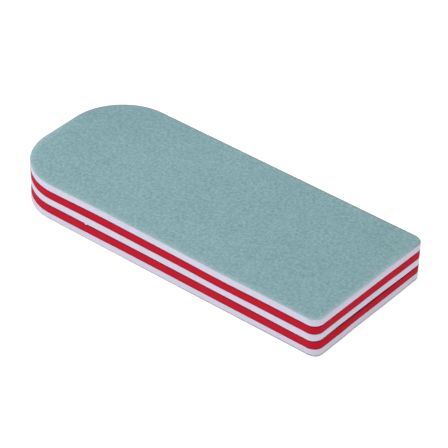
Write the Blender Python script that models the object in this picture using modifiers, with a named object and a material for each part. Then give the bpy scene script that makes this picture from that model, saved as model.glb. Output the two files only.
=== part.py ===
"""Nail buffer block: a die-cut stack of foam sheets between two working sheets.

Metres, +Z up. The origin is in the middle of the underside. +X runs along the
block towards its square end, +Y runs across it, and +Z runs up the stack.
"""

import math

import bpy

# Driving dimensions
BLOCK_LENGTH = 0.0900
BLOCK_WIDTH = 0.0383
ROUND_END_RADIUS = 0.0139
SQUARE_END_RADIUS = 0.0024

# Thickness of each kind of sheet
POLISHING_SHEET = 0.00030
BUFFING_SHEET = 0.00025
OUTER_WHITE_FOAM = 0.00138
LOWER_WHITE_FOAM = 0.00155
UPPER_RED_FOAM = 0.00199
LOWER_RED_FOAM = 0.00214
MIDDLE_WHITE_FOAM = 0.00175
GLUE_FILM = 0.00006

# Room left between two neighbours, so that their faces never meet
CLEARANCE = 0.00001

# The glue films stop short of the cut wall
GLUE_INSET = 0.00020

# Rounding of the cut edges
FOAM_EDGE_RADIUS = 0.00012
SHEET_EDGE_RADIUS = 0.00006
EDGE_SEGMENTS = 2

# Straight steps in a quarter turn of the outline
ROUND_END_STEPS = 14
SQUARE_END_STEPS = 6

# Surface colours as displayed, 0 to 255, with their roughness
TEAL = ((134, 169, 173), 0.85)
PALE_GREY = ((196, 197, 196), 0.90)
WHITE_FOAM = ((232, 232, 240), 0.80)
RED_FOAM = ((200, 30, 56), 0.75)
CLEAR_GLUE = ((225, 214, 196), 0.35)

# The stack from the underside up: name, thickness, inset, edge radius, colour
STACK = (
    ("bottom_buffing_sheet", BUFFING_SHEET, 0.0, SHEET_EDGE_RADIUS, PALE_GREY),
    ("bottom_adhesive_film", GLUE_FILM, GLUE_INSET, 0.0, CLEAR_GLUE),
    ("lower_white_foam", LOWER_WHITE_FOAM, 0.0, FOAM_EDGE_RADIUS, WHITE_FOAM),
    ("lower_bond_film", GLUE_FILM, GLUE_INSET, 0.0, CLEAR_GLUE),
    ("lower_red_foam", LOWER_RED_FOAM, 0.0, FOAM_EDGE_RADIUS, RED_FOAM),
    ("lower_middle_bond_film", GLUE_FILM, GLUE_INSET, 0.0, CLEAR_GLUE),
    ("middle_white_foam", MIDDLE_WHITE_FOAM, 0.0, FOAM_EDGE_RADIUS, WHITE_FOAM),
    ("upper_middle_bond_film", GLUE_FILM, GLUE_INSET, 0.0, CLEAR_GLUE),
    ("upper_red_foam", UPPER_RED_FOAM, 0.0, FOAM_EDGE_RADIUS, RED_FOAM),
    ("upper_bond_film", GLUE_FILM, GLUE_INSET, 0.0, CLEAR_GLUE),
    ("upper_white_foam", OUTER_WHITE_FOAM, 0.0, FOAM_EDGE_RADIUS, WHITE_FOAM),
    ("top_adhesive_film", GLUE_FILM, GLUE_INSET, 0.0, CLEAR_GLUE),
    ("top_polishing_sheet", POLISHING_SHEET, 0.0, SHEET_EDGE_RADIUS, TEAL),
)

WELD_DISTANCE = 0.000001
EDGE_ANGLE = math.radians(40.0)


def clear_scene():
    """Remove whatever the file opened with."""
    for thing in list(bpy.data.objects):
        bpy.data.objects.remove(thing, do_unlink=True)


def linear(channel):
    """One 0 to 255 display channel as a linear value."""
    value = channel / 255.0
    if value <= 0.04045:
        return value / 12.92
    return ((value + 0.055) / 1.055) ** 2.4


def surface(name, look):
    """A plain Principled material in the given display colour."""
    colour, roughness = look
    material = bpy.data.materials.new(name)
    material.use_nodes = True
    shader = material.node_tree.nodes["Principled BSDF"]
    rgba = [linear(channel) for channel in colour] + [1.0]
    shader.inputs["Base Color"].default_value = rgba
    shader.inputs["Roughness"].default_value = roughness
    shader.inputs["Metallic"].default_value = 0.0
    material.diffuse_color = rgba
    return material


def quarter_turn(centre_x, centre_y, radius, start, steps):
    """Points of a quarter circle, counter-clockwise from the start angle."""
    points = []
    for step in range(steps + 1):
        angle = start + 0.5 * math.pi * step / steps
        x = centre_x + radius * math.cos(angle)
        y = centre_y + radius * math.sin(angle)
        points.append((x, y))
    return points


def block_outline(inset):
    """The die's outline moved inwards: small corners at +X, large ones at -X."""
    half_length = 0.5 * BLOCK_LENGTH - inset
    half_width = 0.5 * BLOCK_WIDTH - inset
    small = SQUARE_END_RADIUS - inset
    large = ROUND_END_RADIUS - inset
    right = half_length - small
    left = large - half_length
    points = []
    points += quarter_turn(right, half_width - small, small, 0.0, SQUARE_END_STEPS)
    points += quarter_turn(left, half_width - large, large, 0.5 * math.pi, ROUND_END_STEPS)
    points += quarter_turn(left, large - half_width, large, math.pi, ROUND_END_STEPS)
    points += quarter_turn(right, small - half_width, small, 1.5 * math.pi, SQUARE_END_STEPS)
    return points


def flat_sheet(name, thickness, inset, material):
    """A filled outline of the given thickness, centred on its own origin."""
    curve = bpy.data.curves.new(name, "CURVE")
    curve.dimensions = "2D"
    curve.fill_mode = "BOTH"
    curve.extrude = 0.5 * thickness
    outline = block_outline(inset)
    spline = curve.splines.new("POLY")
    spline.points.add(len(outline) - 1)
    for point, (x, y) in zip(spline.points, outline):
        point.co = (x, y, 0.0, 1.0)
    spline.use_cyclic_u = True
    curve.materials.append(material)
    return bpy.data.objects.new(name, curve)


def round_edges(sheet, radius):
    """Close the caps, then round the upper and lower edges of the cut wall."""
    weld = sheet.modifiers.new("close_caps", "WELD")
    weld.merge_threshold = WELD_DISTANCE
    if radius > 0.0:
        bevel = sheet.modifiers.new("rounded_edges", "BEVEL")
        bevel.width = radius
        bevel.segments = EDGE_SEGMENTS
        bevel.limit_method = "ANGLE"
        bevel.angle_limit = EDGE_ANGLE


def build_stack(collection, block):
    """Lay the sheets one on another, from the underside up."""
    underside = 0.0
    for name, thickness, inset, radius, look in STACK:
        sheet = flat_sheet(name, thickness, inset, surface(name, look))
        round_edges(sheet, radius)
        sheet.location.z = underside + 0.5 * thickness
        sheet.parent = block
        collection.objects.link(sheet)
        underside += thickness + CLEARANCE


def main():
    clear_scene()
    collection = bpy.data.collections.new("nail_buffer_block")
    bpy.context.scene.collection.children.link(collection)
    block = bpy.data.objects.new("nail_buffer_block_origin", None)
    collection.objects.link(block)
    build_stack(collection, block)


main()
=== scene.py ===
"""Looks of a nail buffer block: knife-cut foam layers between two working sheets.

Every layer of the CAD stack is replaced by a finer mesh of the same name and place. The
frame is the CAD's: +X towards the square end, +Y across it, +Z up the stack. Names that
end in _MM, and all lengths in the functions for the outline, the seams, the rows of points
and the materials, are in millimetres. What goes to Blender's objects is in metres.
"""

import math

import bpy
from mathutils import Matrix, Vector, noise
from mathutils.geometry import delaunay_2d_cdt


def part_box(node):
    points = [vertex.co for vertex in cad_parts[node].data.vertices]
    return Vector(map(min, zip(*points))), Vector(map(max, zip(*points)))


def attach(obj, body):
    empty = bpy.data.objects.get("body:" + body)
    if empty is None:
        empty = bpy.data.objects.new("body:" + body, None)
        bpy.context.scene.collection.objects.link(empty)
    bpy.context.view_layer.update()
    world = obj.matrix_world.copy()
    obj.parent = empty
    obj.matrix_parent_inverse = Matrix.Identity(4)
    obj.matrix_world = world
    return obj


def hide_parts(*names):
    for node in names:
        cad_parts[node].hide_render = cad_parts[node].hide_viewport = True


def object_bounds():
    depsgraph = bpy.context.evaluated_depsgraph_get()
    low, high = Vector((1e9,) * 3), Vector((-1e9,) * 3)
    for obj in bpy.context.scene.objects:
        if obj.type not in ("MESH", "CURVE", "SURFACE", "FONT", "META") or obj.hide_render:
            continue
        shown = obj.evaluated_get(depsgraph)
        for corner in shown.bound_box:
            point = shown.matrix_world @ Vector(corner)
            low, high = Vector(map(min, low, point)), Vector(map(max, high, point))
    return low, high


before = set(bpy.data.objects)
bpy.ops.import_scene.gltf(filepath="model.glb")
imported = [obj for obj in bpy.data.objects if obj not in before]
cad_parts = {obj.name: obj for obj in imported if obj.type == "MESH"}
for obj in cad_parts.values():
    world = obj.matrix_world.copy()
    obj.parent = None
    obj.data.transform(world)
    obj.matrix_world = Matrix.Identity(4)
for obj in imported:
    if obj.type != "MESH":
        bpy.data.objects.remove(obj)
cad_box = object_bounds()

MM = 0.001

# Plan of the die, as in the CAD
ROUND_END_RADIUS_MM = 13.9
SQUARE_END_RADIUS_MM = 2.4

# Sampling of the outline, and of the middle of the open faces and of the glued ones
STEP_MM = 0.2
SMALL_CORNER_STEP_MM = 0.12
OPEN_STEP_MM = 0.7
GLUED_STEP_MM = 2.0

# The net of points in the middle of a face: how many steps it keeps away from the row
# around it, how close two points may lie, and Blender's number for a net that stays
# inside the row
NET_MARGIN = 0.6
NET_TOLERANCE_MM = 1e-6
NET_INSIDE = 1

# The cut wall: the lip that closes a seam, the rounded edge of each layer, and the rows
# between its two edges
LIP_INSET_MM = 0.14
LIP_DEPTH_MM = 0.06
LIP_GAP_MM = 0.004
CUT_EDGE_RADIUS_MM = 0.07
CUT_EDGE_STEPS = 4
WALL_STEPS = 13

# How far into the block the form of the wall and of the seams carries on
WALL_FORM_REACH_MM = 1.8
SEAM_FORM_REACH_MM = 2.0

# How much of a wall's normal points along +X where the square end begins and is whole,
# and along -Y where the front does
END_FACING = (0.3, 0.95)
FRONT_FACING = (0.6, 1.0)

# How far the die pulls the top down at the wall
TOP_PULL_MM = 0.02
TOP_PULL_REACH_MM = 1.1
TOP_PULL_DEPTH_MM = 0.9

# How much the cut burrs the buffing sheet, so that its edge looks thicker
BURR_MM = 0.17
BURR_REACH_MM = 0.5
BURR_DEPTH_MM = 0.6

# How far each layer stands out of the square end, at shares of its height; the other
# sides have the same form, but only a share of it
SQUARE_END_STAND_MM = {
    "lower_red_foam": ((0.5, 0.0), (1.0, -0.05)),
    "middle_white_foam": ((0.0, -0.05), (0.8, -0.03)),
    "upper_red_foam": ((0.0, -0.04), (1.0, 0.0)),
}
OTHER_SIDES_PINCH = 0.3

# How far the square end stands out along Y: at its toe, over its foot and at its head.
# Here and below, such a form fades out over the heights that end in ENDS_MM, and in over
# those that end in COMES_MM. The front's toe ends where the square end's does.
END_TOE_MM = ((-5.0, 0.0), (12.0, -0.02), (18.0, -0.07))
END_FOOT_MM = ((-17.0, 0.15), (-11.0, 0.12), (-5.0, -0.03), (8.0, -0.03), (16.0, -0.08))
END_HEAD_MM = ((6.0, 0.0), (12.0, 0.08), (18.0, 0.10))
TOE_ENDS_MM = (0.0, 1.8)
END_FOOT_ENDS_MM = (1.8, 4.5)
END_HEAD_COMES_MM = (2.0, 7.0)

# How far the front wall stands out along X: at its toe and at its head
FRONT_TOE_MM = ((-5.0, 0.0), (42.0, -0.17))
FRONT_HEAD_MM = ((-31.0, 0.12), (-16.0, -0.13), (0.0, -0.02), (18.0, 0.15), (32.0, 0.0))
FRONT_HEAD_COMES_MM = (4.0, 8.0)

# How far the head of the back and of the round end stand out, by the side they face
# in degrees, where the square end faces 0 and the back 90
BACK_HEAD_MM = (
    (75.0, 0.0), (90.0, 0.13), (129.0, 0.06), (147.0, 0.09), (165.0, 0.17), (185.0, 0.20),
    (215.0, 0.16), (240.0, 0.0),
)
BACK_HEAD_COMES_MM = (1.0, 8.0)

# The same for the toe of the round end
ROUND_TOE_MM = ((170.0, 0.0), (200.0, 0.13), (235.0, 0.20), (250.0, 0.17), (270.0, 0.0))
ROUND_TOE_ENDS_MM = (0.0, 3.5)

# The wall's ripple and the knife's drag: depth, length or waves per millimetre, and how
# fast they change with the height
RIPPLE_MM = 0.02
RIPPLE_LENGTH_MM = 9.0
RIPPLE_CHANGE = 0.25
DRAG_MM = 0.014
DRAG_ACROSS = 1.6
DRAG_CHANGE = 0.5
DRAG_SEED = 20.0

# How far the seams hang or rise at the wall, along X
SEAM_HANG_MM = {
    "lower_bond_film": (
        (-40.0, -0.25), (-28.0, -0.20), (-5.0, -0.03), (30.0, -0.02), (42.0, 0.0),
    ),
    "lower_middle_bond_film": (
        (-44.0, -0.30), (-24.0, -0.02), (-10.0, 0.06), (30.0, 0.03), (38.0, -0.03),
    ),
    "upper_middle_bond_film": (
        (-33.0, -0.12), (-22.0, -0.05), (8.0, -0.03), (18.0, -0.12), (40.0, -0.05),
    ),
    "upper_bond_film": (
        (-44.0, 0.18), (-28.0, 0.07), (6.0, 0.11), (20.0, 0.04), (40.0, 0.06),
    ),
}

# The fine wave of every seam, whose form changes with its level, and of the open faces
# of the two sheets, which stay level near the wall
SEAM_WAVE_MM = 0.03
SEAM_WAVE_LENGTH_MM = 14.0
SEAM_WAVE_SEED = 3.0
SHEET_WAVE_MM = 0.012
SHEET_WAVE_LENGTH_MM = 7.0
SHEET_WAVE_SEED = 5.0
SHEET_LEVEL_RIM_MM = (0.3, 3.0)

# One seam gapes at the square end: how far along Y, up into the white and down into the
# red, how deep into the block, and where along X the gape begins and is whole
GAPING_SEAM = "lower_middle_bond_film"
GAPE_UP_MM = ((-19.0, 0.03), (-9.0, 0.15), (0.0, 0.13), (12.0, -0.02))
GAPE_DOWN_MM = ((-17.0, -0.06), (-9.0, 0.10), (-2.0, 0.22), (13.0, 0.24), (18.0, 0.08))
GAPE_REACH_MM = 0.9
GAPE_COMES_MM = (43.8, 44.5)

# A nick that the knife left in the same seam, in the front wall
NICK_X_MM = -20.45
NICK_WIDTH_MM = 0.24
NICK_DEPTH_MM = 0.42

# The stack from the underside up: what each layer is made of
LAYERS = (
    ("bottom_buffing_sheet", "buffing_sheet"),
    ("bottom_adhesive_film", "clear_glue"),
    ("lower_white_foam", "white_foam"),
    ("lower_bond_film", "clear_glue"),
    ("lower_red_foam", "red_foam"),
    ("lower_middle_bond_film", "clear_glue"),
    ("middle_white_foam", "white_foam"),
    ("upper_middle_bond_film", "clear_glue"),
    ("upper_red_foam", "red_foam"),
    ("upper_bond_film", "clear_glue"),
    ("upper_white_foam", "white_foam"),
    ("top_adhesive_film", "clear_glue"),
    ("top_polishing_sheet", "polishing_sheet"),
)

RIM = "rim_mm"


# ---------------------------------------------------------------- the outline

def straight_run(start, end, step):
    """Points from start up to, but not including, end, with the outward normal."""
    run = Vector(end) - Vector(start)
    count = max(1, math.ceil(run.length / step))
    normal = Vector((run.y, -run.x)).normalized()
    return [(Vector(start) + run * (i / count), normal) for i in range(count)]


def corner_run(centre, radius, start_angle, step):
    """A quarter turn, counter-clockwise, without its last point."""
    count = math.ceil(0.5 * math.pi * radius / step)
    points = []
    for i in range(count):
        angle = start_angle + 0.5 * math.pi * i / count
        normal = Vector((math.cos(angle), math.sin(angle)))
        points.append((Vector(centre) + normal * radius, normal))
    return points


def die_outline():
    """The die's path in millimetres, counter-clockwise from the middle of the square end."""
    low, high = cad_box
    half_length = 0.5 * (high[0] - low[0]) / MM
    half_width = 0.5 * (high[1] - low[1]) / MM
    small = SQUARE_END_RADIUS_MM
    large = ROUND_END_RADIUS_MM
    right = half_length - small
    left = large - half_length
    inner_small = half_width - small
    inner_large = half_width - large
    points = straight_run((half_length, 0.0), (half_length, inner_small), STEP_MM)
    points += corner_run((right, inner_small), small, 0.0, SMALL_CORNER_STEP_MM)
    points += straight_run((right, half_width), (left, half_width), STEP_MM)
    points += corner_run((left, inner_large), large, 0.5 * math.pi, STEP_MM)
    points += straight_run((-half_length, inner_large), (-half_length, -inner_large), STEP_MM)
    points += corner_run((left, -inner_large), large, math.pi, STEP_MM)
    points += straight_run((left, -half_width), (right, -half_width), STEP_MM)
    points += corner_run((right, -inner_small), small, 1.5 * math.pi, SMALL_CORNER_STEP_MM)
    points += straight_run((half_length, -inner_small), (half_length, 0.0), STEP_MM)
    return points


OUTLINE = die_outline()
BLOCK_TOP_MM = cad_box[1][2] / MM


# ------------------------------------------------------------- the seams' form

def soft_step(value, low, high):
    """0 below low, 1 above high and smooth between."""
    share = min(max((value - low) / (high - low), 0.0), 1.0)
    return share * share * (3.0 - 2.0 * share)


def wave(x, y, length, seed):
    """Smooth unevenness from -1 to 1, of the given length; each seed has its own form."""
    return noise.noise(Vector((x / length, y / length, seed)))


def between(stops, value):
    """Smooth path through (position, height) stops, level beyond its ends."""
    if value <= stops[0][0]:
        return stops[0][1]
    for (start, low), (end, high) in zip(stops, stops[1:]):
        if value < end:
            return low + (high - low) * soft_step(value, start, end)
    return stops[-1][1]


def seam_height(seam, inset, x, y):
    """Height of a seam or an open face once the die has squeezed its edge.

    A seam is its film's or its face's name with the level where it lies undisturbed."""
    film, level = seam
    depth = BLOCK_TOP_MM - level
    pull = TOP_PULL_MM * math.exp(-((inset / TOP_PULL_REACH_MM) ** 2))
    pull *= math.exp(-depth / TOP_PULL_DEPTH_MM)
    if level <= 0.0 or depth <= 0.0:
        return level - pull
    burr = BURR_MM * math.exp(-((inset / BURR_REACH_MM) ** 2)) * math.exp(-level / BURR_DEPTH_MM)
    edge = SEAM_WAVE_MM * wave(x, y, SEAM_WAVE_LENGTH_MM, SEAM_WAVE_SEED * level)
    if film in SEAM_HANG_MM:
        edge += between(SEAM_HANG_MM[film], x)
    height = level - pull + burr + edge * math.exp(-inset / SEAM_FORM_REACH_MM)
    if film == GAPING_SEAM and y < 0.0:
        nick = math.exp(-(((x - NICK_X_MM) / NICK_WIDTH_MM) ** 2))
        height -= NICK_DEPTH_MM * nick * math.exp(-((inset / NICK_WIDTH_MM) ** 2))
    return height


def wall_offset(name, share, place, normal, z):
    """How far the cut wall of a layer stands out from the die's path.

    Share is the height within the layer, from 0 to 1, and z the height in the block."""
    x, y = place
    end = soft_step(normal.x, *END_FACING)
    front = soft_step(-normal.y, *FRONT_FACING)
    side = math.degrees(math.atan2(normal.y, normal.x)) % 360.0
    stand = between(SQUARE_END_STAND_MM.get(name, ((0.0, 0.0),)), share)
    stand *= OTHER_SIDES_PINCH + (1.0 - OTHER_SIDES_PINCH) * end
    toe = end * between(END_TOE_MM, y) + front * between(FRONT_TOE_MM, x)
    stand += toe * (1.0 - soft_step(z, *TOE_ENDS_MM))
    stand += end * between(END_FOOT_MM, y) * (1.0 - soft_step(z, *END_FOOT_ENDS_MM))
    stand += end * between(END_HEAD_MM, y) * soft_step(z, *END_HEAD_COMES_MM)
    stand += front * between(FRONT_HEAD_MM, x) * soft_step(z, *FRONT_HEAD_COMES_MM)
    stand += between(BACK_HEAD_MM, side) * soft_step(z, *BACK_HEAD_COMES_MM)
    stand += between(ROUND_TOE_MM, side) * (1.0 - soft_step(z, *ROUND_TOE_ENDS_MM))
    ripple = RIPPLE_MM * wave(x, y, RIPPLE_LENGTH_MM, RIPPLE_CHANGE * z)
    dragged = Vector((DRAG_ACROSS * x, DRAG_ACROSS * y, DRAG_CHANGE * z + DRAG_SEED))
    drag = DRAG_MM * noise.noise(dragged)
    return stand + ripple + drag


# ------------------------------------------------------------------- the mesh

def face_row(name, share, inset, height):
    """A closed row of points on a layer's top or underside, at an inset from the wall.

    Share is 1 on the top and 0 on the underside; height is a function of x and y."""
    fade = 1.0 - soft_step(inset, 0.0, WALL_FORM_REACH_MM)
    points = []
    for place, normal in OUTLINE:
        at = place - normal * inset
        z = height(at.x, at.y)
        at += normal * wall_offset(name, share, place, normal, z) * fade
        points.append((at.x, at.y, z))
    return points


def wall_row(name, low, high, share, inset):
    """A closed row of points on a layer's cut wall, between its two seams."""
    points = []
    for place, normal in OUTLINE:
        bottom = low(place.x, place.y)
        z = bottom + (high(place.x, place.y) - bottom) * share
        at = place + normal * (wall_offset(name, share, place, normal, z) - inset)
        points.append((at.x, at.y, z))
    return points


def filled_cap(points, face, upwards, step):
    """An even net that fills a row: its points, its triangles, and where each point is from.

    Face gives, for a distance from the wall, the height as a function of x and y. A point
    with an origin below the row's own count is a point of the row."""
    flat = [Vector((x, y)) for x, y, _ in points]
    count = len(flat)
    edges = [(i, (i + 1) % count) for i in range(count)]
    low_x, high_x = min(p.x for p in flat), max(p.x for p in flat)
    low_y, high_y = min(p.y for p in flat), max(p.y for p in flat)
    least_depth = outline_depth(*flat[0]) + NET_MARGIN * step
    inside = []
    rows = int((high_y - low_y) / step)
    columns = int((high_x - low_x) / step)
    for row in range(1, rows):
        for column in range(1, columns):
            shift = 0.5 if row % 2 else 0.0
            x = low_x + (column + shift) * step
            y = low_y + row * step
            if outline_depth(x, y) > least_depth:
                inside.append(Vector((x, y)))
    made = delaunay_2d_cdt(flat + inside, edges, [], NET_INSIDE, NET_TOLERANCE_MM)
    vertices, triangles, origins = made[0], made[2], made[3]
    places = [(v.x, v.y, face(outline_depth(v.x, v.y))(v.x, v.y)) for v in vertices]
    triangles = [corners if upwards else corners[::-1] for corners in triangles]
    return places, triangles, [origin[0] for origin in origins]


def outline_depth(x, y):
    """Distance from the die's path, positive inside the block."""
    high = cad_box[1]
    radius = ROUND_END_RADIUS_MM if x < 0.0 else SQUARE_END_RADIUS_MM
    across = abs(x) - (high[0] / MM - radius)
    along = abs(y) - (high[1] / MM - radius)
    outside = math.hypot(max(across, 0.0), max(along, 0.0))
    return radius - outside - min(max(across, along), 0.0)


def closed_mesh(name, rows, rims, caps):
    """A closed solid from rows of points, inner top row first, and a cap at each end.

    Rims holds one value for each row, which the materials read as the attribute RIM."""
    count = len(OUTLINE)
    vertices = [point for row in rows for point in row]
    faces = []
    for row in range(len(rows) - 1):
        for i in range(count):
            j = (i + 1) % count
            near, far = row * count, (row + 1) * count
            faces.append((near + i, far + i, far + j, near + j))
    for row, (places, triangles, origins) in zip((0, len(rows) - 1), caps):
        start = row * count
        index = []
        for place, origin in zip(places, origins):
            if origin < count:
                index.append(start + origin)
            else:
                index.append(len(vertices))
                vertices.append(place)
        faces += [tuple(index[corner] for corner in corners) for corners in triangles]
    mesh = bpy.data.meshes.new(name)
    mesh.from_pydata([Vector(v) * MM for v in vertices], [], faces)
    mesh.validate()
    mesh.shade_smooth()
    rim_of = mesh.attributes.new(RIM, "FLOAT", "POINT")
    for i, point in enumerate(rim_of.data):
        point.value = rims[i // count] if i < len(rows) * count else rims[0]
    return mesh


def new_piece(name, mesh, material):
    """Puts a mesh in the scene in place of the CAD node of the same name."""
    mesh.materials.append(material)
    piece = bpy.data.objects.new("visual_" + name, mesh)
    bpy.context.scene.collection.objects.link(piece)
    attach(piece, "root")
    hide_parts(name)
    return piece


def seam_side(seam, gap, side):
    """The face of a layer along a seam, as a function of inset; it closes up at the wall.

    Gap is the distance from the seam's middle to the layer's face. Side is 1 for the
    layer above the seam, and -1 for the layer below it."""
    gape_along = GAPE_UP_MM if side > 0.0 else GAPE_DOWN_MM

    def face(inset):
        behind_lip = soft_step(inset, LIP_INSET_MM, LIP_INSET_MM + LIP_DEPTH_MM)
        room = LIP_GAP_MM + (gap - LIP_GAP_MM) * behind_lip
        gape = 1.0 - soft_step(inset, 0.0, GAPE_REACH_MM) if seam[0] == GAPING_SEAM else 0.0

        def height(x, y):
            opening = gape * soft_step(x, *GAPE_COMES_MM) * between(gape_along, y)
            return seam_height(seam, inset, x, y) + side * (room + opening)
        return height
    return face


def edge_turn(radius, steps):
    """How the wall turns into a face: (inset, drop) from the face to the wall."""
    turn = []
    for i in range(1, steps + 1):
        angle = 0.5 * math.pi * i / steps
        turn.append((radius * (1.0 - math.sin(angle)), radius * (1.0 - math.cos(angle))))
    return turn


def layer_rows(name, lower, upper, insets):
    """All rows of one layer, from the inner top, round the wall, to the inner bottom.

    With each row comes a distance: for a sheet from the rim, and negative below the rim,
    and for a foam layer from the nearer of its two glued seams."""
    low, high = lower(0.0), upper(0.0)
    middle = OUTLINE[0][0]
    thickness = high(middle.x, middle.y) - low(middle.x, middle.y)
    turn = edge_turn(CUT_EDGE_RADIUS_MM, CUT_EDGE_STEPS)
    wall = [(1.0 - drop / thickness, inset) for inset, drop in turn]
    start, end = wall[-1][0], 1.0 - wall[-1][0]
    wall += [(start + (end - start) * i / WALL_STEPS, 0.0) for i in range(1, WALL_STEPS)]
    wall += [(drop / thickness, inset) for inset, drop in reversed(turn)]
    rows = [face_row(name, 1.0, inset, upper(inset)) for inset in insets]
    rows += [wall_row(name, low, high, share, inset) for share, inset in wall]
    rows += [face_row(name, 0.0, inset, lower(inset)) for inset in reversed(insets)]
    if name.endswith("foam"):
        rims = [min(share, 1.0 - share) * thickness for share, _ in wall]
        return rows, [0.0] * len(insets) + rims + [0.0] * len(insets)
    rims = [inset - (1.0 - share) * thickness for share, inset in wall]
    return rows, list(insets) + rims + [-thickness] * len(insets)


# -------------------------------------------------------------- the materials

def display(red, green, blue):
    """A 0 to 255 display colour as a linear colour."""
    values = []
    for channel in (red, green, blue):
        share = channel / 255.0
        values.append(share / 12.92 if share <= 0.04045 else ((share + 0.055) / 1.055) ** 2.4)
    return (*values, 1.0)


def grey(value):
    """A neutral colour of the given linear value."""
    return (value, value, value, 1.0)


# The foams: the walls of their cells, the opened cells, and the painted shade at a seam;
# and the painted shade of the lowest foam near the floor, with the heights over which it ends
WHITE_FOAM = (display(223, 225, 243), display(195, 197, 217), display(220, 216, 237))
RED_FOAM = (display(206, 23, 50), display(173, 10, 31), display(120, 8, 42))
FOOT_SHADE_FOAM = display(186, 180, 184)
FOOT_SHADE_SHARE = 0.14
FOOT_SHADE_ENDS_MM = (1.5, 2.1)
SEAM_SHADE_SHARE = 0.9
SEAM_SHADE_REACH_MM = 0.38

# The polishing sheet: its nap low and high, its rim in painted shade at the back, its
# pale backing with painted sheen in front, and painted shade near the back corner of the round end
TEAL = (display(109, 145, 151), display(154, 191, 195))
TEAL_RIM_SHADE = display(104, 101, 90)
TEAL_CORNER_SHADE = display(104, 138, 145)
PALE_BACKING_AND_SHEEN = display(226, 230, 247)
SHADED_CORNER_MM = (-46.0, 22.0, 9.8)
CORNER_SHADE_SHARE = 0.2
CORNER_SHADE_REACH_MM = (4.0, 29.0)

# How pale the rim is in front, by the distance from the rim: bare backing with painted
# sheen on it; the cut wall of the sheet shows the bare backing all round
PALE_RIM = (
    (-0.35, 1.0), (-0.2, 0.9), (-0.1, 0.78), (0.0, 0.5), (0.08, 0.34), (0.25, 0.21),
    (0.5, 0.14), (1.0, 0.05), (2.0, 0.0),
)
CUT_WALL_RIM_MM = (-0.06, 0.0)

# How the painted sheen in front gives way to the painted shade of the dark rim at the back,
# from the middle rearwards, sooner along the round end and later along the square end
REARWARD_MM = (2.0, 14.0)
REARWARD_SHIFT_MM = 6.0
SOONER_X_MM = (-45.0, -30.0)
LATER_X_MM = (36.0, 44.0)
PALE_SHARE_AT_BACK = 0.3
DARK_RIM_SHARE = 0.4
DARK_RIM_MM = (0.1, 0.6)

# The buffing sheet: its grit and the gaps between the grains, each lighter and darker,
# and where along X it turns darker, towards the square end, and is darkest
GRIT_GREY = (display(220, 221, 230), display(201, 203, 209))
GAP_GREY = (display(196, 198, 209), display(170, 173, 182))
DARKER_X_MM = (-16.0, 26.0)

GLUE = (display(214, 203, 186), display(238, 230, 214))


def add(tree, kind, settings=None, **inputs):
    """A new node, with its settings, and its inputs set or linked by name."""
    made = tree.nodes.new("ShaderNode" + kind)
    for name, value in (settings or {}).items():
        setattr(made, name, value)
    for name, value in inputs.items():
        place = int(name[1:]) if name[1:].isdigit() else name.replace("_", " ")
        socket = made.inputs[place]
        if isinstance(value, bpy.types.NodeSocket):
            tree.links.new(value, socket)
        else:
            socket.default_value = value
    return made


def new_material(name, roughness, specular):
    """An empty Principled material, its shader, and the place in millimetres."""
    material = bpy.data.materials.new(name)
    material.use_nodes = True
    tree = material.node_tree
    shader = tree.nodes["Principled BSDF"]
    shader.inputs["Roughness"].default_value = roughness
    shader.inputs["Specular IOR Level"].default_value = specular
    metres = add(tree, "TexCoord").outputs["Object"]
    place = add(tree, "Mapping", Vector=metres, Scale=(1.0 / MM, 1.0 / MM, 1.0 / MM))
    return material, tree, shader, place.outputs["Vector"]


def grain(tree, place, scale, detail, roughness=0.6):
    """Even noise from 0 to 1; scale is its features per unit of the place."""
    made = add(tree, "TexNoise", Vector=place, Scale=scale, Detail=detail, Roughness=roughness)
    return made.outputs["Fac"]


def scaled(tree, value, low, high, to_low=0.0, to_high=1.0):
    """A value moved from one range, low to high, to another, and held inside it."""
    made = add(tree, "MapRange", Value=value)
    ends = {"From Min": low, "From Max": high, "To Min": to_low, "To Max": to_high}
    for name, number in ends.items():
        made.inputs[name].default_value = number
    return made.outputs["Result"]


def arithmetic(tree, operation, first, second):
    """One sum, with two values or numbers."""
    return add(tree, "Math", {"operation": operation}, _0=first, _1=second).outputs[0]


def times(tree, first, second):
    """The product of two values."""
    return arithmetic(tree, "MULTIPLY", first, second)


def total(tree, first, *others):
    """The sum of several values."""
    for other in others:
        first = arithmetic(tree, "ADD", first, other)
    return first


def rim_distance(tree):
    """The value that each row of a mesh carries, in millimetres."""
    return add(tree, "Attribute", {"attribute_name": RIM}).outputs["Fac"]


def blended(tree, factor, first, second):
    """A mix of two colours."""
    made = add(tree, "Mix", {"data_type": "RGBA"}, _0=factor, _6=first, _7=second)
    return made.outputs[2]


def bumped(tree, shader, height, distance_mm, strength):
    """Fine relief on the shader's normal, as deep as the distance where the height is 1."""
    made = add(tree, "Bump", Height=height, Distance=distance_mm * MM, Strength=strength)
    tree.links.new(made.outputs["Normal"], shader.inputs["Normal"])


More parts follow.
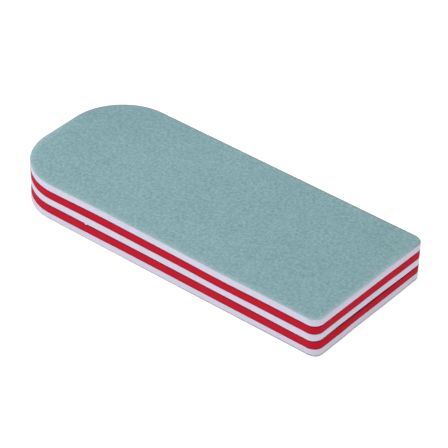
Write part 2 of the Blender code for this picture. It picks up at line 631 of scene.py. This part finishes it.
def foam_material(name, colours, specular):
    """Closed-cell foam: opened cells, faint drag lines of the knife and soft mottling.

    Near its glued seams the foam takes on some of the darker edge colour, as painted shade.
    The lowest foam, near the floor, is painted duller than the rest, as shade."""
    colour, shade, edge = colours
    material, tree, shader, place = new_material(name, roughness=0.8, specular=specular)
    cells = add(tree, "TexVoronoi", Vector=place, Scale=5.5).outputs["Distance"]
    pores = scaled(tree, cells, 0.08, 0.42)
    big_cells = add(tree, "TexVoronoi", Vector=place, Scale=2.1).outputs["Distance"]
    big_pores = scaled(tree, big_cells, 0.03, 0.16)
    upright = add(tree, "Mapping", Vector=place, Scale=(5.0, 5.0, 0.45)).outputs["Vector"]
    drag = grain(tree, upright, scale=1.0, detail=2.0)
    mottle = grain(tree, place, scale=0.35, detail=4.0)
    fine = grain(tree, place, scale=3.0, detail=3.0)
    light = total(
        tree, times(tree, pores, 0.22), times(tree, big_pores, 0.12),
        scaled(tree, drag, 0.3, 0.7, 0.0, 0.16), scaled(tree, mottle, 0.3, 0.7, 0.0, 0.26),
        scaled(tree, fine, 0.25, 0.75, 0.0, 0.24))
    body = blended(tree, light, shade, colour)
    level = add(tree, "SeparateXYZ", Vector=place).outputs["Z"]
    # Painted shade: the foam is duller and darker low down, near the floor
    foot_shade = scaled(tree, level, *FOOT_SHADE_ENDS_MM, FOOT_SHADE_SHARE, 0.0)
    body = blended(tree, foot_shade, body, FOOT_SHADE_FOAM)
    # Painted shade along each glued seam, in the darker edge colour
    edge_shade = scaled(tree, rim_distance(tree), 0.0, SEAM_SHADE_REACH_MM, SEAM_SHADE_SHARE, 0.0)
    tree.links.new(blended(tree, edge_shade, body, edge), shader.inputs["Base Color"])
    tree.links.new(scaled(tree, fine, 0.3, 0.7, 0.88, 0.72), shader.inputs["Roughness"])
    relief = total(
        tree, times(tree, pores, 0.5), times(tree, big_pores, 0.5), times(tree, drag, 0.5))
    bumped(tree, shader, relief, distance_mm=0.05, strength=0.5)
    return material


def pale_share(tree, rim, unevenness):
    """The share of pale, bare backing with painted sheen, at an unevenly wandering distance from the
    rim.
    """
    rough = times(tree, arithmetic(tree, "SUBTRACT", unevenness, 0.5), 0.5)
    low, high = PALE_RIM[0][0], PALE_RIM[-1][0]
    ramp = add(tree, "ValToRGB", Fac=scaled(tree, total(tree, rim, rough), low, high))
    elements = ramp.color_ramp.elements
    while len(elements) < len(PALE_RIM):
        elements.new(0.5)
    for element, (distance, share) in zip(elements, PALE_RIM):
        element.position = (distance - low) / (high - low)
        element.color = grey(share)
    return ramp.outputs["Color"]


def rearward_of(tree, place):
    """The place's Y, raised along the round end and lowered along the square end."""
    axes = add(tree, "SeparateXYZ", Vector=place).outputs
    sooner = scaled(tree, axes["X"], *SOONER_X_MM, REARWARD_SHIFT_MM, 0.0)
    later = scaled(tree, axes["X"], *LATER_X_MM, 0.0, REARWARD_SHIFT_MM)
    return arithmetic(tree, "SUBTRACT", total(tree, axes["Y"], sooner), later)


def polishing_material():
    """Teal polishing sheet: a fine matte nap; its rim is pale from bare backing, with painted sheen in
    front, and in painted shade behind.
    """
    material, tree, shader, place = new_material("teal_polishing_sheet", roughness=0.75, specular=0.25)
    nap = grain(tree, place, scale=1.5, detail=3.0, roughness=0.7)
    grit = grain(tree, place, scale=9.0, detail=2.0)
    flecks = add(tree, "TexVoronoi", Vector=place, Scale=3.2).outputs["Distance"]
    cloud = grain(tree, place, scale=0.12, detail=3.0)
    light = total(
        tree, times(tree, scaled(tree, nap, 0.32, 0.68), 0.65),
        scaled(tree, flecks, 0.05, 0.6, 0.0, 0.25), scaled(tree, cloud, 0.3, 0.7, 0.0, 0.1),
        scaled(tree, grit, 0.3, 0.7, -0.16, 0.16))
    teal = blended(tree, light, *TEAL)
    rim = rim_distance(tree)
    rearward = rearward_of(tree, place)
    # Painted shade on the dark rim at the back
    dark_rim = scaled(tree, rim, *DARK_RIM_MM, DARK_RIM_SHARE, 0.0)
    edge_shade = times(tree, dark_rim, scaled(tree, rearward, *REARWARD_MM))
    teal = blended(tree, edge_shade, teal, TEAL_RIM_SHADE)
    # Painted shade around the back corner of the round end
    corner = add(tree, "VectorMath", {"operation": "DISTANCE"}, _0=place, _1=SHADED_CORNER_MM)
    corner_shade = scaled(tree, corner.outputs["Value"], *CORNER_SHADE_REACH_MM, CORNER_SHADE_SHARE, 0.0)
    teal = blended(tree, corner_shade, teal, TEAL_CORNER_SHADE)
    # Painted sheen on the rim, strongest in front and fading rearwards; the cut wall's bare backing is
    # pale all round
    front_sheen = scaled(tree, rearward, *REARWARD_MM, 1.0, PALE_SHARE_AT_BACK)
    cut_wall = scaled(tree, rim, *CUT_WALL_RIM_MM, 1.0, 0.0)
    paling = arithmetic(tree, "MAXIMUM", front_sheen, cut_wall)
    pale = times(tree, pale_share(tree, rim, nap), paling)
    tree.links.new(blended(tree, pale, teal, PALE_BACKING_AND_SHEEN), shader.inputs["Base Color"])
    tree.links.new(scaled(tree, nap, 0.3, 0.7, 0.9, 0.7), shader.inputs["Roughness"])
    relief = total(tree, nap, times(tree, flecks, 0.5), times(tree, grit, 0.6))
    bumped(tree, shader, relief, distance_mm=0.06, strength=0.5)
    return material


def buffing_material():
    """Pale grey buffing sheet: fine abrasive grit on a thin backing."""
    material, tree, shader, place = new_material("grey_buffing_sheet", roughness=0.85, specular=0.3)
    grit = add(tree, "TexVoronoi", Vector=place, Scale=6.5)
    speckle = scaled(tree, grit.outputs["Distance"], 0.05, 0.5)
    cloud = grain(tree, place, scale=0.2, detail=3.0)
    fine = grain(tree, place, scale=4.0, detail=3.0)
    gaps = total(
        tree, times(tree, speckle, 0.45), scaled(tree, fine, 0.3, 0.7, 0.0, 0.35),
        scaled(tree, cloud, 0.3, 0.7, 0.0, 0.2))
    along = add(tree, "SeparateXYZ", Vector=place).outputs["X"]
    # Darker towards the square end
    darkening = scaled(tree, along, *DARKER_X_MM)
    grit_grey = blended(tree, darkening, *GRIT_GREY)
    gap_grey = blended(tree, darkening, *GAP_GREY)
    tree.links.new(blended(tree, gaps, grit_grey, gap_grey), shader.inputs["Base Color"])
    tree.links.new(scaled(tree, fine, 0.3, 0.7, 0.92, 0.7), shader.inputs["Roughness"])
    bumped(tree, shader, arithmetic(tree, "SUBTRACT", 1.0, speckle), distance_mm=0.06, strength=0.6)
    return material


def glue_material():
    """A thin, slightly cloudy film of adhesive."""
    material, tree, shader, place = new_material("adhesive_film", roughness=0.4, specular=0.4)
    cloud = grain(tree, place, scale=0.5, detail=4.0)
    tree.links.new(blended(tree, cloud, *GLUE), shader.inputs["Base Color"])
    return material


# ------------------------------------------------------------------ the pieces

# How far the rows of points on a layer's faces are from the wall, past its rounded edge
FOAM_INSETS_MM = (2.2, 1.6, 1.0, 0.7, 0.5, 0.32, 0.2, LIP_INSET_MM, 0.09)
SHEET_INSETS_MM = (2.2, 1.8, 1.4, 1.1, 0.85, 0.65, 0.5, 0.38, 0.28, 0.2, 0.14, 0.09)
FILM_INSETS_MM = (2.2, 1.6, 1.0)


def sheet_face(seam, side):
    """The open face of a sheet, 1 for the top and -1 for the underside, faintly uneven."""
    def face(inset):
        def height(x, y):
            uneven = SHEET_WAVE_MM * wave(x, y, SHEET_WAVE_LENGTH_MM, SHEET_WAVE_SEED + side)
            uneven *= soft_step(inset, *SHEET_LEVEL_RIM_MM)
            return seam_height(seam, inset, x, y) - side * abs(uneven)
        return height
    return face


def seam_of(film):
    """A glue film's seam: its name and the level of its middle."""
    low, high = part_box(film)
    return film, 0.5 * (low.z + high.z) / MM


def build_layers():
    """Every layer of the stack, from the underside up."""
    materials = {
        "polishing_sheet": polishing_material(),
        "buffing_sheet": buffing_material(),
        "white_foam": foam_material("white_foam", WHITE_FOAM, specular=0.3),
        "red_foam": foam_material("red_foam", RED_FOAM, specular=0.08),
        "clear_glue": glue_material(),
    }
    names = [name for name, _ in LAYERS]
    for index, (name, slot) in enumerate(LAYERS):
        low, high = (corner.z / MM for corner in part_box(name))
        if slot == "clear_glue":
            build_film(name, names[index - 1], names[index + 1], materials[slot])
            continue
        if index == 0:
            lower = sheet_face(("underside", low), -1.0)
            lower_step = OPEN_STEP_MM
        else:
            seam = seam_of(names[index - 1])
            lower = seam_side(seam, low - seam[1], 1.0)
            lower_step = GLUED_STEP_MM
        if index == len(LAYERS) - 1:
            upper = sheet_face(("top", high), 1.0)
            upper_step = OPEN_STEP_MM
        else:
            seam = seam_of(names[index + 1])
            upper = seam_side(seam, seam[1] - high, -1.0)
            upper_step = GLUED_STEP_MM
        insets = SHEET_INSETS_MM if slot.endswith("sheet") else FOAM_INSETS_MM
        rows, rims = layer_rows(name, lower, upper, insets)
        top_cap = filled_cap(rows[0], upper, True, upper_step)
        bottom_cap = filled_cap(rows[-1], lower, False, lower_step)
        mesh = closed_mesh(name, rows, rims, (top_cap, bottom_cap))
        piece = new_piece(name, mesh, materials[slot])


def build_film(name, below, above, material):
    """A glue film in the seam between two layers, inside the narrower of their outlines."""
    low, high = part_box(name)
    seam = seam_of(name)
    half = 0.5 * (high.z - low.z) / MM

    def face_of(side):
        def face(inset):
            return lambda x, y: seam_height(seam, inset, x, y) + side * half
        return face

    def row(inset, face):
        under = face_row(below, 1.0, inset, face(inset))
        over = face_row(above, 0.0, inset, face(inset))
        return [max(pair, key=lambda p: outline_depth(p[0], p[1])) for pair in zip(under, over)]

    upper, lower = face_of(1.0), face_of(-1.0)
    rows = [row(inset, upper) for inset in FILM_INSETS_MM]
    rows += [row(inset, lower) for inset in reversed(FILM_INSETS_MM)]
    top_cap = filled_cap(rows[0], upper, True, GLUED_STEP_MM)
    bottom_cap = filled_cap(rows[-1], lower, False, GLUED_STEP_MM)
    mesh = closed_mesh(name, rows, [0.0] * len(rows), (top_cap, bottom_cap))
    new_piece(name, mesh, material)


# ------------------------------------------------------------------- the stage

# The camera: a long lens, where it stands, and how far it is shifted to frame the block
CAMERA_LENS_MM, CAMERA_SENSOR_MM = 207.6, 36.0
CAMERA_AZIMUTH, CAMERA_ELEVATION, CAMERA_ROLL = 39.27, 36.5, 0.895
CAMERA_DISTANCE = 0.5788
CAMERA_RIGHT_MM, CAMERA_DOWN_MM = 2.97, 1.37

# The surround: its strength at the horizon and overhead, and its tint and lift past the
# square end. Each range is of the unit direction's X or Z.
HORIZON_STRENGTH, OVERHEAD_STRENGTH = 0.92, 0.3
DIMMING_Z = (0.06, 0.25)
WARM_TINT = (1.0, 0.74, 0.71, 1.0)
WARM_SIDE_LIFT = 1.42
WARM_X, WARM_Z = (0.3, 1.0), (0.05, 0.12)

# The key light
KEY_AZIMUTH, KEY_ELEVATION = -40.0, 72.3
KEY_DISTANCE, KEY_SIZE, KEY_POWER = 0.3, 0.29, 0.74

# The floor, which glows a little, so that the block throws hardly any shadow
FLOOR_SIZE, FLOOR_DROP = 4.0, 0.00001
FLOOR_DARK, FLOOR_LIGHT = 0.44, 0.46
FLOOR_GLOW = 0.79


def look_from(azimuth, elevation):
    """Unit vector from the block towards an eye; azimuth 0 is in front, looking along +Y."""
    turn, rise = math.radians(azimuth), math.radians(elevation)
    flat = math.cos(rise)
    return Vector((math.sin(turn) * flat, -math.cos(turn) * flat, math.sin(rise)))


def aimed(back, roll=0.0):
    """Rotation of a camera or lamp whose back points along the given vector."""
    right = Vector((0.0, 0.0, 1.0)).cross(back).normalized()
    up = back.cross(right)
    turn = math.radians(roll)
    across = right * math.cos(turn) + up * math.sin(turn)
    upright = up * math.cos(turn) - right * math.sin(turn)
    return Matrix((across, upright, back)).transposed()


def add_camera(centre):
    """A long lens, close to parallel, looking down at the block's near corner."""
    data = bpy.data.cameras.new("camera")
    data.sensor_width = CAMERA_SENSOR_MM
    data.lens = CAMERA_LENS_MM
    camera = bpy.data.objects.new("camera", data)
    back = look_from(CAMERA_AZIMUTH, CAMERA_ELEVATION)
    turn = aimed(back, CAMERA_ROLL)
    shift = turn.col[0] * CAMERA_RIGHT_MM * MM - turn.col[1] * CAMERA_DOWN_MM * MM
    place = Matrix.Translation(centre + back * CAMERA_DISTANCE + shift)
    camera.matrix_world = place @ turn.to_4x4()
    bpy.context.scene.collection.objects.link(camera)
    bpy.context.scene.camera = camera


def add_key_light(centre):
    """A square soft light aimed at the block."""
    data = bpy.data.lights.new("key", "AREA")
    data.shape = "SQUARE"
    data.size = KEY_SIZE
    data.energy = KEY_POWER
    lamp = bpy.data.objects.new("key", data)
    back = look_from(KEY_AZIMUTH, KEY_ELEVATION)
    lamp.matrix_world = Matrix.Translation(centre + back * KEY_DISTANCE) @ aimed(back).to_4x4()
    bpy.context.scene.collection.objects.link(lamp)


def add_world():
    """A pale surround: white along the horizon, dimmer above it, and warm past the square end."""
    world = bpy.data.worlds.new("surround")
    world.use_nodes = True
    tree = world.node_tree
    background = tree.nodes["Background"]
    direction = add(tree, "TexCoord").outputs["Generated"]
    axes = add(tree, "SeparateXYZ", Vector=direction).outputs
    warmth = times(tree, scaled(tree, axes["X"], *WARM_X), scaled(tree, axes["Z"], *WARM_Z))
    tree.links.new(blended(tree, warmth, grey(1.0), WARM_TINT), background.inputs["Color"])
    strength = scaled(tree, axes["Z"], *DIMMING_Z, HORIZON_STRENGTH, OVERHEAD_STRENGTH)
    lift = scaled(tree, warmth, 0.0, 1.0, 1.0, WARM_SIDE_LIFT)
    tree.links.new(times(tree, strength, lift), background.inputs["Strength"])
    bpy.context.scene.world = world


def add_floor():
    """A plain pale floor just under the block."""
    bpy.ops.mesh.primitive_plane_add(size=FLOOR_SIZE, location=(0.0, 0.0, -FLOOR_DROP))
    floor = bpy.context.object
    floor.name = "floor"
    material, tree, shader, place = new_material("pale_floor", roughness=0.95, specular=0.0)
    cloud = grain(tree, place, scale=0.01, detail=2.0)
    colour = blended(tree, cloud, grey(FLOOR_DARK), grey(FLOOR_LIGHT))
    tree.links.new(colour, shader.inputs["Base Color"])
    shader.inputs["Emission Color"].default_value = grey(1.0)
    shader.inputs["Emission Strength"].default_value = FLOOR_GLOW
    floor.data.materials.append(material)


def build_stage():
    """The camera, the surround, the key light and the floor."""
    centre = Vector((0.0, 0.0, 0.5 * cad_box[1][2]))
    add_camera(centre)
    add_world()
    add_key_light(centre)
    add_floor()
    bpy.context.scene.view_settings.view_transform = "Standard"


build_stage()
build_layers()
